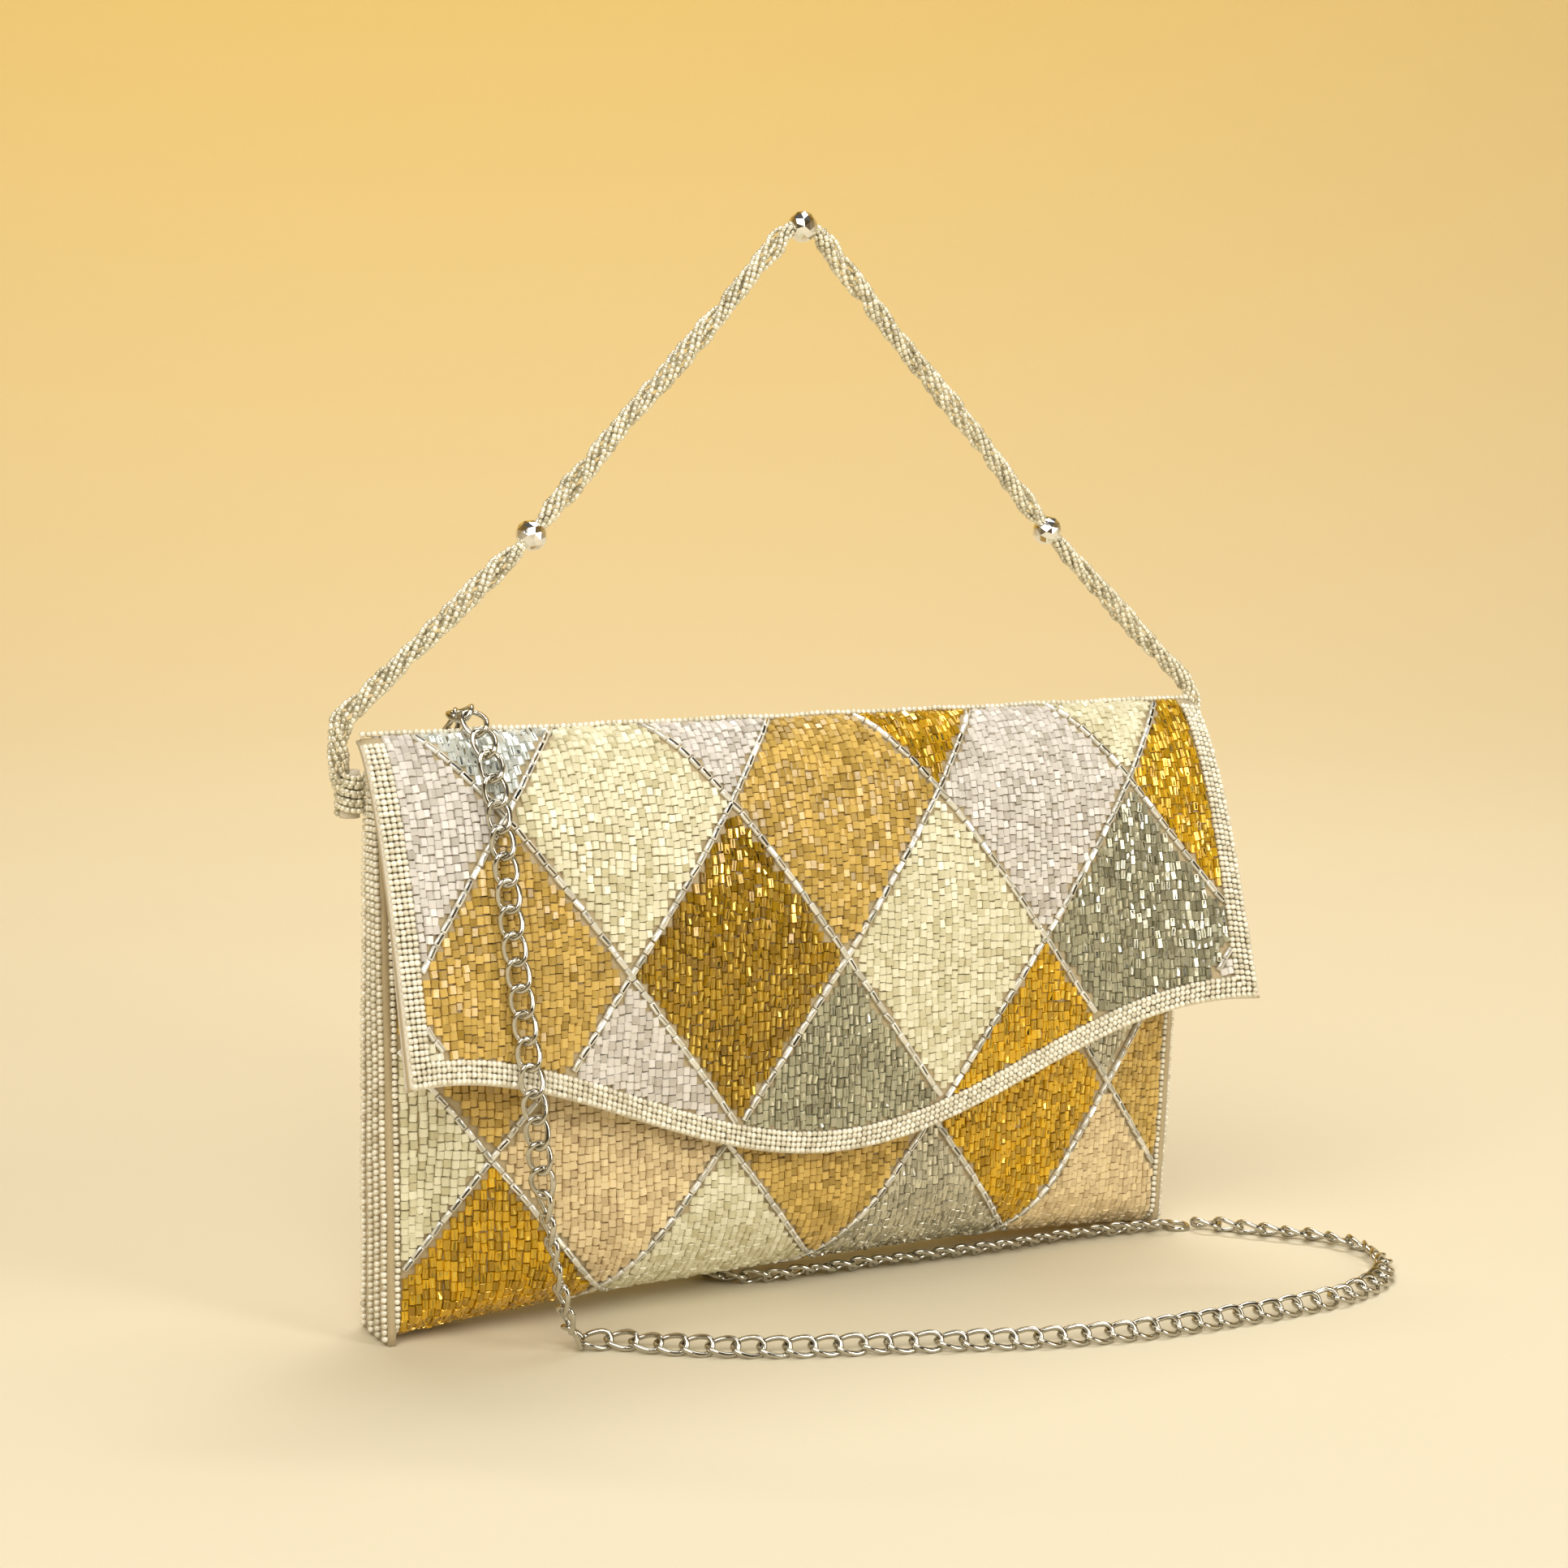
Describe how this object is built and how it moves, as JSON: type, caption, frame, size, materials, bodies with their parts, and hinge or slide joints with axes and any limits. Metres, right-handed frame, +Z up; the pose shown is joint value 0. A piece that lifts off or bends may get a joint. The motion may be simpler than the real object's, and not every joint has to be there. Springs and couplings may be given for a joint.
{
  "type": "clutch purse",
  "caption": "Beaded envelope clutch purse with a hinged flap, a swinging rope handle and a removable chain strap on D-rings.",
  "frame": {"origin": "middle of the bounding box at the surface the purse stands on, leaving out the free chain", "axes": "+X along the purse, to the right seen from the front; +Y from the front to the back; +Z up"},
  "size_m": [0.2831, 0.1219, 0.2812],
  "materials": {
    "beads": "satin",
    "board": "matte",
    "lining": "satin",
    "cloth": "satin",
    "trim": "gloss",
    "strand": "gloss",
    "snap_metal": "satin",
    "ball_metal": "polished",
    "hardware": "polished",
    "chain_metal": "polished"
  },
  "bodies": {
    "purse": {"front_panel": "beads", "front_board": "board", "front_lining": "lining", "mouth_binding": "trim", "back_panel": "beads", "back_board": "board", "back_lining": "lining", "slip_pocket": "lining", "gusset_left": "cloth", "gusset_right": "cloth", "gusset_trim_left": "trim", "gusset_trim_right": "trim", "snap_socket": "snap_metal", "snap_washer_front": "snap_metal", "handle_anchor_left": "strand", "handle_anchor_right": "strand", "ring_tab_left": "cloth", "ring_tab_right": "cloth", "chain_back": "chain_metal", "chain_front": "chain_metal", "chain_floor": "chain_metal", "chain_ring": "chain_metal", "chain_return": "chain_metal"},
    "flap": {"flap_panel": "beads", "flap_board": "board", "flap_lining": "lining", "flap_piping": "trim", "fold_trim": "trim", "snap_stud": "snap_metal", "snap_washer_flap": "snap_metal"},
    "handle": {"rope_left_lower": "strand", "rope_left_upper": "strand", "rope_right_upper": "strand", "rope_right_lower": "strand", "ball_left": "ball_metal", "ball_middle": "ball_metal", "ball_right": "ball_metal"},
    "ring_left": {"d_ring_left": "hardware", "clasp_left": "hardware", "clasp_pin_left": "hardware"},
    "ring_right": {"d_ring_right": "hardware", "clasp_right": "hardware", "clasp_pin_right": "hardware"},
    "lever_left": {"clasp_lever_left": "hardware"},
    "lever_right": {"clasp_lever_right": "hardware"}
  },
  "joints": [
    {"name": "flap_hinge", "type": "hinge", "parent": "purse", "child": "flap", "pos_m": [0, 0.006, 0.15], "axis": [-1, 0, 0], "range_deg": [0, 120], "deforming": ["chain_front"]},
    {"name": "handle_hinge", "type": "hinge", "parent": "purse", "child": "handle", "pos_m": [0, 0.01, 0.1496], "axis": [-1, 0, 0], "range_deg": [-25, 95]},
    {"name": "ring_swing_left", "type": "hinge", "parent": "purse", "child": "ring_left", "pos_m": [-0.104, 0.01747, 0.139], "axis": [1, 0, 0], "range_deg": [0, 60], "deforming": ["chain_back"]},
    {"name": "clasp_open_left", "type": "hinge", "parent": "ring_left", "child": "lever_left", "pos_m": [-0.104, 0.01917, 0.12385], "axis": [1, 0, 0], "range_deg": [0, 24], "stiffness_Nm_per_rad": 0.004, "springref_deg": -11.46},
    {"name": "ring_swing_right", "type": "hinge", "parent": "purse", "child": "ring_right", "pos_m": [0.104, 0.01747, 0.139], "axis": [1, 0, 0], "range_deg": [0, 60], "deforming": ["chain_return"]},
    {"name": "clasp_open_right", "type": "hinge", "parent": "ring_right", "child": "lever_right", "pos_m": [0.104, 0.01917, 0.12385], "axis": [1, 0, 0], "range_deg": [0, 24], "stiffness_Nm_per_rad": 0.004, "springref_deg": -11.46}
  ]
}
